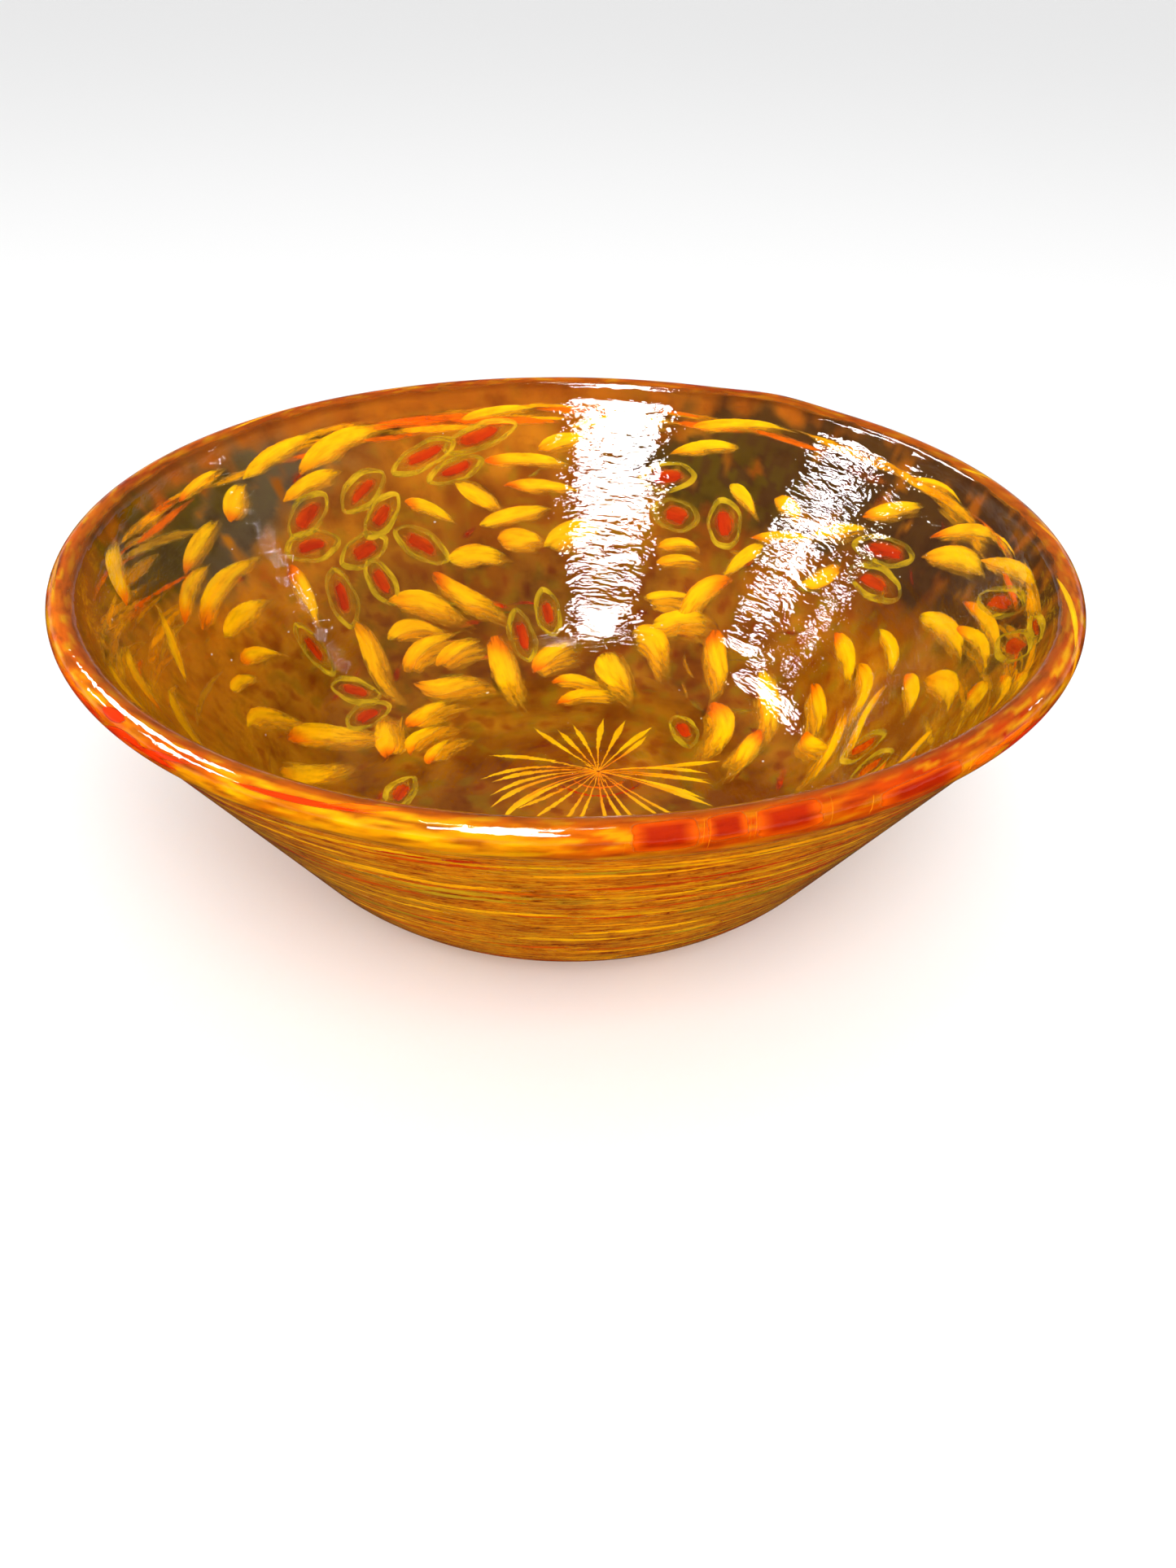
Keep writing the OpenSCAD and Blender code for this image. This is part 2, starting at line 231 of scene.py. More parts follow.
def blade(build, base, path, half, top, low, n0, colour, fade, ring=10, closed=False):
    """A lens-shaped strip along path, an (m, 2) array of (u, v) offsets from base.

    half, top and low are the half width and the heights above and below its middle surface,
    which lies at depth n0. flow is the place in the glass that the grain follows: along, across, seed.
    colour and fade are called with (t, side), t along the path and side from -1 to 1 across."""
    path = np.asarray(path, float)
    m = len(path)
    t = np.arange(m) / (m if closed else m - 1)
    d = np.roll(path, -1, 0) - np.roll(path, 1, 0) if closed else np.gradient(path, axis=0)
    d /= np.maximum(np.hypot(d[:, 0], d[:, 1])[:, None], 1e-9)
    side = np.c_[-d[:, 1], d[:, 0]]
    th = np.arange(ring) * 2 * math.pi / ring
    half, top, low, n0 = (np.broadcast_to(np.asarray(x, float), (m,)) for x in (half, top, low, n0))
    cu = path[:, None, 0] + side[:, None, 0] * half[:, None] * np.cos(th)
    cv = path[:, None, 1] + side[:, None, 1] * half[:, None] * np.cos(th)
    up = np.maximum(np.sin(th), 0)[None] * top[:, None] - np.maximum(-np.sin(th), 0)[None] * low[:, None]
    n = n0[:, None] + up
    tt = np.repeat(t[:, None], ring, 1)
    ss = np.repeat(np.cos(th)[None], m, 0)
    u, v, n, tt, ss = (x.ravel() for x in (cu, cv, n, tt, ss))
    if not closed:
        u = np.r_[u, path[0, 0], path[-1, 0]]
        v = np.r_[v, path[0, 1], path[-1, 1]]
        n = np.r_[n, n0[0], n0[-1]]
        tt = np.r_[tt, 0, 1]
        ss = np.r_[ss, 0, 0]
    run = np.r_[0, np.cumsum(np.hypot(*np.diff(path, axis=0).T))]
    seed = base[0] + base[1] * 0.37
    flow = np.c_[np.interp(tt, t, run) * 0.035, ss * np.interp(tt, t, half) * 0.15, np.full(len(tt), seed)]
    build.add(laid_points(base, u, v, n), sweep_faces(m, ring, closed), colour(tt, ss), fade(tt, ss), flow)


def turned(along, across, heading):
    """Offsets (u, v) of points along and across a stroke that heads the given way."""
    c, si = math.cos(heading), math.sin(heading)
    return np.c_[along * c - across * si, along * si + across * c]


def leaf_width(t, a, b):
    """Half width of a leaf of width 1 at t along it; a and b sharpen its start and its end."""
    peak = (a / (a + b)) ** a * (b / (a + b)) ** b
    return t ** a * (1 - t) ** b / peak / 2


def smooth(a, b, x):
    """A soft step from 0 at a to 1 at b."""
    k = np.clip((np.asarray(x, float) - a) / (b - a), 0, 1)
    return k * k * (3 - 2 * k)


def blend(a, b, k):
    a, b = np.asarray(a, float), np.asarray(b, float)
    k = np.asarray(k, float)[..., None]
    return a * (1 - k) + b * k


def pieces_of(node):
    """(phi, along, heading, length, width) of each loose leaf-shaped solid of a CAD node."""
    bm = bmesh.new()
    bm.from_mesh(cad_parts[node].data)
    bmesh.ops.remove_doubles(bm, verts=bm.verts, dist=2e-6)
    seen, found = set(), []
    for start in bm.verts:
        if start.index in seen:
            continue
        stack, group = [start], []
        seen.add(start.index)
        while stack:
            w = stack.pop()
            group.append(w.co[:])
            for e in w.link_edges:
                o = e.other_vert(w)
                if o.index not in seen:
                    seen.add(o.index)
                    stack.append(o)
        found.append(np.array(group) / MM)
    bm.free()
    out = []
    for g in found:
        c = (g.max(0) + g.min(0)) / 2
        phi = math.atan2(c[1], c[0])
        r = np.hypot(g[:, 0], g[:, 1])
        s = along_of(r, g[:, 2])
        dphi = (np.arctan2(g[:, 1], g[:, 0]) - phi + math.pi) % (2 * math.pi) - math.pi
        s_mid = float((s.max() + s.min()) / 2)
        if s_mid < FLOOR_EDGE:
            u = -g[:, 0] * math.sin(phi) + g[:, 1] * math.cos(phi)
            v = g[:, 0] * math.cos(phi) + g[:, 1] * math.sin(phi) - s_mid
        else:
            u, v = dphi * r, s - s_mid
        uv = np.c_[u, v]
        far = uv[np.argmax(((uv - uv.mean(0)) ** 2).sum(1))]
        tip = uv[np.argmax(((uv - far) ** 2).sum(1))]
        d = tip - far
        length = math.hypot(*d)
        d /= length
        across = uv @ np.array([-d[1], d[0]])
        mid = (tip + far) / 2
        if d[0] + 1.2 * d[1] < 0:
            d = -d
        base_phi = math.degrees(phi)
        if s_mid >= FLOOR_EDGE:
            base_phi += math.degrees(mid[0] / max(r.mean(), 5))
        heading = math.atan2(d[1], d[0])
        out.append((base_phi % 360, s_mid + mid[1], heading, length, across.max() - across.min()))
    return sorted(out)


# ---- materials
def material(name, **values):
    m = bpy.data.materials.new(name)
    m.use_nodes = True
    nt = m.node_tree
    bsdf = nt.nodes["Principled BSDF"]
    for k, v in values.items():
        key = k.replace("_", " ")
        bsdf.inputs[key].default_value = (*v, 1.0) if isinstance(v, tuple) else v
    return m, nt, bsdf


def node(nt, kind, **values):
    n = nt.nodes.new(kind)
    for k, v in values.items():
        setattr(n, k, v)
    return n


def attribute(nt, name):
    return node(nt, "ShaderNodeAttribute", attribute_name=name)


def noise_node(nt, vector, scale, detail=3.0, rough=0.5, distortion=0.0):
    n = node(nt, "ShaderNodeTexNoise")
    n.inputs["Scale"].default_value = scale
    n.inputs["Detail"].default_value = detail
    n.inputs["Roughness"].default_value = rough
    n.inputs["Distortion"].default_value = distortion
    nt.links.new(vector, n.inputs["Vector"])
    return n.outputs["Fac"]


def ramp(nt, fac, *stops):
    n = node(nt, "ShaderNodeValToRGB")
    while len(n.color_ramp.elements) < len(stops):
        n.color_ramp.elements.new(0.5)
    for e, (at, colour) in zip(n.color_ramp.elements, stops):
        e.position = at
        e.color = (*colour, 1.0) if len(colour) == 3 else colour
    nt.links.new(fac, n.inputs["Fac"])
    return n.outputs["Color"]


def mix_colour(nt, kind, fac, a, b):
    n = node(nt, "ShaderNodeMix", data_type="RGBA", blend_type=kind)
    if isinstance(fac, (int, float)):
        n.inputs[0].default_value = fac
    else:
        nt.links.new(fac, n.inputs[0])
    for value, socket in ((a, n.inputs[6]), (b, n.inputs[7])):
        if isinstance(value, tuple):
            socket.default_value = (*value, 1.0)
        else:
            nt.links.new(value, socket)
    return n.outputs[2]


def maths(nt, op, a, b=None):
    n = node(nt, "ShaderNodeMath", operation=op)
    for value, socket in ((a, n.inputs[0]), (b, n.inputs[1])):
        if value is None:
            continue
        if isinstance(value, (int, float)):
            socket.default_value = value
        else:
            nt.links.new(value, socket)
    return n.outputs[0]


def mix_shader(nt, fac, a, b):
    n = node(nt, "ShaderNodeMixShader")
    if isinstance(fac, float):
        n.inputs[0].default_value = fac
    else:
        nt.links.new(fac, n.inputs[0])
    nt.links.new(a, n.inputs[1])
    nt.links.new(b, n.inputs[2])
    return n.outputs[0]


def drawn_out(nt, stretch):
    """The grain's place in the glass, stretched."""
    n = node(nt, "ShaderNodeVectorMath", operation="MULTIPLY")
    n.inputs[1].default_value = stretch
    nt.links.new(attribute(nt, "flow").outputs["Vector"], n.inputs[0])
    return n.outputs[0]


def add_bump(nt, bsdf, height, strength, distance):
    b = node(nt, "ShaderNodeBump")
    b.inputs["Strength"].default_value = strength
    b.inputs["Distance"].default_value = distance
    nt.links.new(height, b.inputs["Height"])
    nt.links.new(b.outputs["Normal"], bsdf.inputs["Normal"])


def lit_through(nt, bsdf, colour, share):
    """Lets some light through a coloured glass piece from behind it."""
    t = node(nt, "ShaderNodeBsdfTranslucent")
    nt.links.new(colour, t.inputs["Color"])
    return mix_shader(nt, share, bsdf.outputs[0], t.outputs[0])


def inlay_glass(name, grain, share=0.25, roughness=0.4, dark=0.7, torn=0.8, stretch=(1.0, 1.0, 1.0)):
    """Coloured glass: its tint and fade are in the mesh, with cloudy grain and torn edges from noise."""
    m, nt, bsdf = material(name, Roughness=roughness, Specular_IOR_Level=0.0)
    tint, fade = attribute(nt, "tint"), attribute(nt, "fade")
    cloud = noise_node(nt, drawn_out(nt, stretch), grain, 4.0, 0.6)
    tone = ramp(nt, cloud, (0.3, (dark, dark * 0.85, dark * 0.7)), (0.52, (1.0, 0.98, 0.9)),
                (0.75, (1.08, 1.12, 0.9)))
    colour = mix_colour(nt, "MULTIPLY", 1.0, tint.outputs["Color"], tone)
    nt.links.new(colour, bsdf.inputs["Base Color"])
    tear = maths(nt, "MULTIPLY", maths(nt, "SUBTRACT", cloud, 0.5), torn)
    edge = maths(nt, "ADD", fade.outputs["Fac"], tear)
    soft = node(nt, "ShaderNodeMapRange", interpolation_type="SMOOTHSTEP")
    soft.inputs["From Min"].default_value, soft.inputs["From Max"].default_value = 0.12, 0.86
    nt.links.new(edge, soft.inputs["Value"])
    clear = node(nt, "ShaderNodeBsdfTransparent")
    glass = lit_through(nt, bsdf, colour, share)
    no_shadow(nt, mix_shader(nt, soft.outputs["Result"], clear.outputs[0], glass))
    return m


def clear_glass(name, ior, bump):
    """The clear glass that everything else is cased in, with faint tooling ripples."""
    m, nt, bsdf = material(name, Base_Color=(1.0, 0.985, 0.955), Roughness=0.015, IOR=ior,
                           Transmission_Weight=1.0)
    flow = attribute(nt, "flow")
    ripple = noise_node(nt, flow.outputs["Vector"], 1.0, 3.0, 0.55, 0.4)
    fine = noise_node(nt, flow.outputs["Vector"], 4.3, 2.0, 0.5)
    height = maths(nt, "ADD", ripple, maths(nt, "MULTIPLY", fine, 0.3))
    add_bump(nt, bsdf, height, bump, 0.0011)
    clear = node(nt, "ShaderNodeBsdfTransparent")
    clear.inputs["Color"].default_value = (0.97, 0.95, 0.9, 1.0)
    no_shadow(nt, bsdf.outputs[0], clear)
    return m


def no_shadow(nt, surface, clear=None):
    """Light goes straight on through to the layers behind, as it does in glass."""
    clear = clear or node(nt, "ShaderNodeBsdfTransparent")
    path = node(nt, "ShaderNodeLightPath")
    mix = mix_shader(nt, path.outputs["Is Shadow Ray"], surface, clear.outputs[0])
    nt.links.new(mix, nt.nodes["Material Output"].inputs["Surface"])


PETAL = inlay_glass("petal_glass", 3.4, 0.25, 0.4, 0.8, 1.1)
VEIL = inlay_glass("petal_veil_glass", 3.4, 0.35, 0.5, 0.7, 1.0)
RED = inlay_glass("red_core_glass", 3.2, 0.2)
GREEN = inlay_glass("green_ring_glass", 4.0, 0.25)
GROUND = inlay_glass("ground_glass", 0.9, 0.4, 0.5, 0.72, 0.1)
THREAD = inlay_glass("thread_glass", 3.0, 0.3, 0.4, 0.8, 0.5)
CLEAR = [clear_glass("clear_lining_glass", 1.52, 0.42), clear_glass("clear_lip_glass", 1.45, 0.25),
         clear_glass("clear_casing_glass", 1.16, 0.5)]

# ---- colours
YELLOW = (1.0, 0.60, 0.002)
GOLD = (1.0, 0.44, 0.002)
ORANGE = (0.82, 0.15, 0.001)
SCARLET = (0.58, 0.028, 0.001)
CRIMSON = (0.33, 0.028, 0.002)
AMBER = (0.60, 0.25, 0.004)
HONEY = (0.62, 0.31, 0.012)
OLIVE = (0.36, 0.22, 0.006)
LIME = (0.70, 0.46, 0.012)
TAN = (0.74, 0.29, 0.010)
BROWN = (0.32, 0.085, 0.003)
UMBER = (0.085, 0.038, 0.009)
SLATE = (0.14, 0.105, 0.06)
MOSS = (0.13, 0.08, 0.002)
RUST = (0.46, 0.12, 0.006)


# ---- petals
LOW_WALL = 101  # distance up the wall below which petals are drawn out the most


def petal(build, veils, piece, k):
    """One petal and its veils, laid where the CAD petal lies and drawn out past its tail."""
    phi, s, heading, length, width = piece
    stations = 28
    t = np.linspace(0.012, 0.988, stations)
    c, si = math.cos(heading), math.sin(heading)
    low = s < LOW_WALL
    steep = abs(si) > 0.6
    long_k = length * (rng.uniform(1.5, 2.1) if low else rng.uniform(1.3, 1.75))
    curve = rng.uniform(0.05, 0.26) * long_k * (rng.choice([-0.6, 0.8]) if steep else 1)
    along = (t - 0.5) * long_k - (long_k - length * 1.1) * (0.5 if low else 0.25)
    across = curve * (0.6 - (2 * t - 1) ** 2) * 0.5
    if low:
        across = across + rng.uniform(-1, 1) * width * 0.35 * np.sin(6.28 * t)
    path = turned(along, across, heading)
    a, b = rng.uniform(0.85, 1.5), rng.uniform(0.35, 0.8)
    wide = width * (rng.uniform(0.8, 1.15) if low else rng.uniform(0.72, 1.05))
    half = wide * leaf_width(t, a, b)
    orange_head = rng.choice([0.0, 0.5, 0.9, 1.0])
    orange_side = rng.uniform(0.0, 0.6)
    warm = rng.uniform(0.0, 0.42)
    edge = 1 if not steep else rng.choice([-1, 1])
    streaks = rng.uniform(0, 6.28)

    def colour(tt, ss):
        q = ss * edge
        base = blend(YELLOW, GOLD, np.clip(warm + 0.30 * np.sin(5.0 * q + streaks + 2.5 * tt), 0, 1))
        base = blend(base, HONEY, 0.7 * smooth(0.1, -0.9, q))
        base = blend(AMBER, base, smooth(0.0, 0.62 if low else 0.42, tt))
        base = blend(base, ORANGE, orange_head * smooth(0.72, 0.95, tt - 0.05 * q))
        return blend(base, ORANGE, orange_side * smooth(0.62, 1.0, q) * smooth(0.1, 0.6, tt))

    def fade(tt, ss):
        q = ss * edge
        body = smooth(-0.02, 0.7 if low else 0.46, tt - 0.12 * q) * (0.5 + 0.5 * smooth(1.0, 0.86, tt))
        sides = (0.25 + 0.75 * smooth(-1.0, -0.15, q)) * (0.45 + 0.55 * smooth(1.0, 0.84, q))
        return np.clip(body * sides, 0, 1)

    crown = 0.3 * np.minimum(1, half / 2)
    blade(build, (phi, s), path, half, crown, 0.3, 0.03 + 0.03 * (k % 3), colour, fade, ring=16)
    # the petal's drawn-out depth: fainter echoes that trail from it down into the wall
    drop = rng.uniform(3.0, 5.5) if not low else rng.uniform(6.0, 11.0)
    dirx, diry = (-c * 0.9, -0.75) if not low else (-c * 0.35, -1.0)
    norm = math.hypot(dirx, diry)
    tone = rng.uniform(0, 1)
    for layer, depth in ((0.45, 0.03), (0.95, 0.0)):
        shift = np.linspace(1.0, 0.3, stations)[:, None] * np.array([[dirx, diry]]) * drop / norm * layer
        vhalf = half * 1.04 + (0.8 if low else 0.35) * np.sin(np.pi * t)

        def vcolour(tt, ss):
            base = blend(AMBER, HONEY, np.full_like(tt, 0.3 + 0.7 * tone))
            return blend(base, GOLD, (0.75 - 0.4 * layer) * smooth(0.1, 0.9, tt))

        def vfade(tt, ss):
            strong = (0.75 if low else 0.62) * (1.15 - 0.5 * layer)
            ends = smooth(0.0, 0.5, tt) * smooth(1.0, 0.85, tt)
            return strong * ends * (1 - 0.75 * smooth(0.35, 1.0, np.abs(ss)))

        blade(veils, (phi, s), path + shift, vhalf, 0.12, 0.12, depth, vcolour, vfade, ring=10)


PETAL_NODES = [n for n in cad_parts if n.startswith("petals_")]
veils = Build()
for name in sorted(PETAL_NODES):
    build = Build()
    for k, piece in enumerate(pieces_of(name)):
        petal(build, veils, piece, k)
    build.make(name.replace("petals_", "petal_row_"), PETAL, "petal_glass", name)
veils.make("petal_veils", VEIL, "petal_glass")


# ---- cells
RING = 44  # points round a cell's outline
CORE_RED = (0.44, 0.022, 0.001)


def outline(length, width, wobble, corners):
    """Closed outline of a drawn-out cell: a leaf with a soft corner or two."""
    th = np.arange(RING) * 2 * math.pi / RING
    lobes = 1 + 0.05 * np.cos(corners * th + wobble) + 0.05 * np.cos(2 * th + 2 * wobble)
    x = length / 2 * np.cos(th) * (1 + 0.04 * np.cos(th + wobble))
    y = width / 2 * np.sign(np.sin(th)) * np.abs(np.sin(th)) ** 1.3 * lobes
    return x, y


def cell(cores, rings, fills, piece, faint):
    """A ring line, the core inside it and the tinted glass between them."""
    phi, s, heading, length, width = piece
    x, y = outline(length * 1.32, width * 1.12, rng.uniform(0, 6), rng.choice([5, 6]))
    path = turned(x, y, heading)
    shade = rng.uniform(0, 1)
    strong = rng.uniform(0.7, 0.95) * faint

    def ring_colour(tt, ss):
        return blend(OLIVE, LIME, np.clip(0.6 + 0.4 * shade + 0.3 * np.sin(9 * tt + shade * 6), 0, 1))

    def ring_fade(tt, ss):
        return strong * (0.85 + 0.15 * np.sin(2 * math.pi * tt * 2 + shade * 5))

    ring_half = 0.80 + 0.22 * np.sin(np.arange(RING) * 0.285 + shade * 6)
    blade(rings, (phi, s), path, ring_half, 0.25, 0.35, 0.06, ring_colour, ring_fade, ring=8, closed=True)
    t = np.linspace(0.015, 0.985, 22)
    core_l, core_w = length * rng.uniform(0.80, 1.0), width * rng.uniform(0.56, 0.72)
    a, b = rng.uniform(0.45, 0.8), rng.uniform(0.4, 0.7)
    half = core_w * leaf_width(t, a, b)
    bend = rng.uniform(-0.08, 0.08) * core_l
    core = turned((t - 0.5) * core_l, bend * (2 * t - 1) ** 2, heading)

    def core_colour(tt, ss):
        return blend(CORE_RED, ORANGE, 0.35 * smooth(0.2, 1.0, ss) + 0.15 * shade)

    def core_fade(tt, ss):
        return faint * (0.35 + 0.65 * smooth(0, 0.25, tt) * smooth(0, 0.25, 1 - tt)) * (
            1 - 0.45 * smooth(0.5, 1.0, np.abs(ss)))

    blade(cores, (phi, s), core, half, 0.35, 0.4, 0.04, core_colour, core_fade, ring=12)
    fill_glass(fills, (phi, s), path, 0.55 * strong, 0.35 + 0.5 * shade)


def fill_glass(fills, base, path, strong, olive):
    """Tinted glass between a core and its ring: a thin closed plate of loops, faint at its edge."""
    loops = 6
    verts_u, verts_v, fades = [], [], []
    for i in range(loops):
        q = 0.28 + 0.72 * i / (loops - 1)
        verts_u.append(path[:, 0] * q)
        verts_v.append(path[:, 1] * q)
        fades.append(np.full(RING, strong * (1 - smooth(0.55, 1.0, q) * 0.6)))
    u, v, fade = np.concatenate(verts_u), np.concatenate(verts_v), np.concatenate(fades)
    faces = []
    for i in range(loops - 1):
        for j in range(RING):
            k = (j + 1) % RING
            faces.append((i * RING + j, i * RING + k, (i + 1) * RING + k, (i + 1) * RING + j))
    faces.append(tuple(range(RING - 1, -1, -1)))
    lower = len(u)
    n = np.r_[np.full(lower, 0.015), np.full(lower, -0.15)]
    edge = (loops - 1) * RING
    faces += [tuple(i + lower for i in reversed(f)) for f in faces]
    for j in range(RING):
        k = (j + 1) % RING
        faces.append((edge + k, edge + j, edge + lower + j, edge + lower + k))
    tint = blend(TAN, OLIVE, np.full(2 * lower, olive))
    verts = laid_points(base, np.r_[u, u], np.r_[v, v], n)
    fills.add(verts, faces, tint, np.r_[fade, fade], verts * 0.1)


fills = Build()
for name in sorted(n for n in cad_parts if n.endswith("_rings")):
    cores, rings = Build(), Build()
    faint = 0.75 if "low" in name else 1.0
    for piece in pieces_of(name):
        cell(cores, rings, fills, piece, faint)
    group = name.replace("_rings", "")
    rings.make(group + "_ring_lines", GREEN, "green_glass", name)
    cores.make(group + "_core_drops", RED, "red_glass", group + "_cores")
fills.make("cell_fills", VEIL, "green_glass")



def flat_colour(c):
    return lambda tt, ss: np.broadcast_to(c, (len(tt), 3))


def swelling(tt, power):
    """Strength along a stroke: nothing at its ends, and fuller in the middle the lower the power."""
    return np.sin(np.pi * np.clip(tt, 0, 1)) ** power


# small red, olive and amber flecks scattered between the flowers
flecks = Build()
for k in range(230):
    s = rng.choice([rng.uniform(52, 100), rng.uniform(52, 155)])
    phi = rng.uniform(0, 360)
    hue = rng.random()
    pick = CRIMSON if hue < 0.42 else SCARLET if hue < 0.6 else OLIVE if hue < 0.85 else AMBER
    heading = rng.uniform(-0.6, 0.9)
    length, wide = rng.uniform(6, 15), rng.uniform(2.0, 5.0)
    t = np.linspace(0.02, 0.98, 14)
    path = turned((t - 0.5) * length, rng.uniform(-0.12, 0.12) * length * (2 * t - 1) ** 2, heading)
    strength = rng.uniform(0.25, 0.6)
    blade(flecks, (phi, s), path, wide / 2 * np.sin(np.pi * t) ** 0.8, 0.12, 0.15, rng.uniform(-0.02, 0.02),
          flat_colour(pick),
          lambda tt, ss: strength * (1 - smooth(0.3, 1.0, np.abs(ss))) * swelling(tt, 0.5), ring=8)
flecks.make("ground_flecks", VEIL, "ground_glass")

# drawn-out streaks that run in under the lip, leaning out in a fan at the left and the right
rim_streaks = Build()
LEFT_FAN, RIGHT_FAN = 198, -20
for k in range(170):
    side = rng.choice([LEFT_FAN, LEFT_FAN, RIGHT_FAN, 40, 90, 140, 250, 310])
    fan = side in (LEFT_FAN, RIGHT_FAN)
    phi = side + rng.gauss(0, 14 if fan else 26)
    heading = rng.gauss(0.24, 0.05) * (-1 if side == RIGHT_FAN else 1) if fan else rng.uniform(0.0, 0.07)
    length, wide = rng.uniform(18, 50), rng.uniform(1.6, 4.2)
    s = 156 - abs(rng.gauss(0, 15 if fan else 3)) - abs(math.sin(heading)) * length / 2
    pick = rng.choice([GOLD, TAN, AMBER, ORANGE, HONEY] if fan else [GOLD, GOLD, AMBER, ORANGE])
    t = np.linspace(0.02, 0.98, 24)
    path = turned((t - 0.5) * length, rng.uniform(-0.03, 0.03) * length * (2 * t - 1) ** 2, heading)
    strength = rng.uniform(0.35, 0.8)
    blade(rim_streaks, (phi, s), path, wide / 2 * np.sin(np.pi * t) ** 0.7, 0.12, 0.15,
          rng.uniform(-0.01, 0.04), flat_colour(pick),
          lambda tt, ss: strength * (1 - 0.8 * smooth(0.3, 1.0, np.abs(ss))) * swelling(tt, 0.6))
rim_streaks.make("rim_streaks", VEIL, "orange_glass")

# ---- star on the floor
star = Build()
STAR = (9.5, 7.0)  # where its threads meet
threads = []
# each group: middle angle, threads, spread of angles, reach, sweep and width
for middle, many, spread, far, sweep, wide in (
    (-4, 6, 46, 37, -0.10, 1.35),
    (182, 7, 54, 36, 0.30, 1.1),
    (90, 7, 100, 28, 0.0, 1.3),
    (270, 9, 100, 33, 0.05, 0.75),
):
    for k in range(many):
        ang = middle + spread * ((k + 0.5) / many - 0.5) + rng.uniform(-3, 3)
        reach = far * rng.uniform(0.86, 1.06)
        threads.append((ang, reach, sweep + rng.uniform(-0.16, 0.16), wide * rng.uniform(0.75, 1.2)))
for k, (ang, reach, bend, wide) in enumerate(threads):
    t = np.linspace(0.0, 1.0, 26)
    rr = 0.6 + reach * t
    aa = math.radians(ang) + bend * t ** 1.4
    xs, ys = STAR[0] + rr * np.cos(aa), STAR[1] + rr * np.sin(aa)
    half = (0.24 + 0.66 * wide * smooth(0.25, 0.85, t)) * (1 - 0.88 * smooth(0.74, 1.0, t))
    warm = rng.uniform(0, 1)
    path = np.c_[ys, xs]

    def colour(tt, ss):
        base = blend(GOLD, YELLOW, np.clip(tt * 0.9 + 0.3 * (1 - warm) - 0.2, 0, 1))
        return blend(base, ORANGE, 0.75 * warm * (1 - smooth(0.3, 0.8, tt)))

    def fade(tt, ss):
        return (0.75 + 0.25 * smooth(0.1, 0.7, tt)) * (1 - 0.5 * smooth(0.92, 1.0, tt)) * (
            1 - 0.4 * smooth(0.4, 1.0, np.abs(ss)))

    blade(star, (0.0, 0.0), path, half, 0.3, 0.3, 0.06 + 0.03 * math.sin(k * 2.4), colour, fade, ring=10)
# two arcs of thread behind it
for ring_r, hue in ((13.5, SCARLET), (9.0, ORANGE)):
    th = np.linspace(-2.9, -0.3, 40)
    path = np.c_[STAR[1] + ring_r * np.sin(th) * 0.9, STAR[0] + ring_r * np.cos(th)]
    blade(star, (0.0, 0.0), path, 0.32, 0.2, 0.25, 0.02, flat_colour(hue),
          lambda tt, ss: 0.8 * swelling(tt, 0.5), ring=8)
star.make("star_of_threads", THREAD, "orange_glass", "star_threads")


# ---- ground layer
def patch(phi, s, centre_phi, centre_s, wide, tall):
    """A soft patch of the wall: 1 at its centre, fading over wide degrees and tall millimetres."""
    d = ((phi - centre_phi + 180) % 360 - 180) / wide
    return np.exp(-(d * d + ((s - centre_s) / tall) ** 2))


def wander(phi, s, scale, seed):
    """Smooth noise over the wall."""
    p = np.radians(phi)
    r = np.maximum(s, 8)
    out = np.empty(len(phi))
    for i, (a, b) in enumerate(zip(r * np.cos(p) * scale, r * np.sin(p) * scale)):
        out[i] = noise.noise((a, b, seed))
    return out


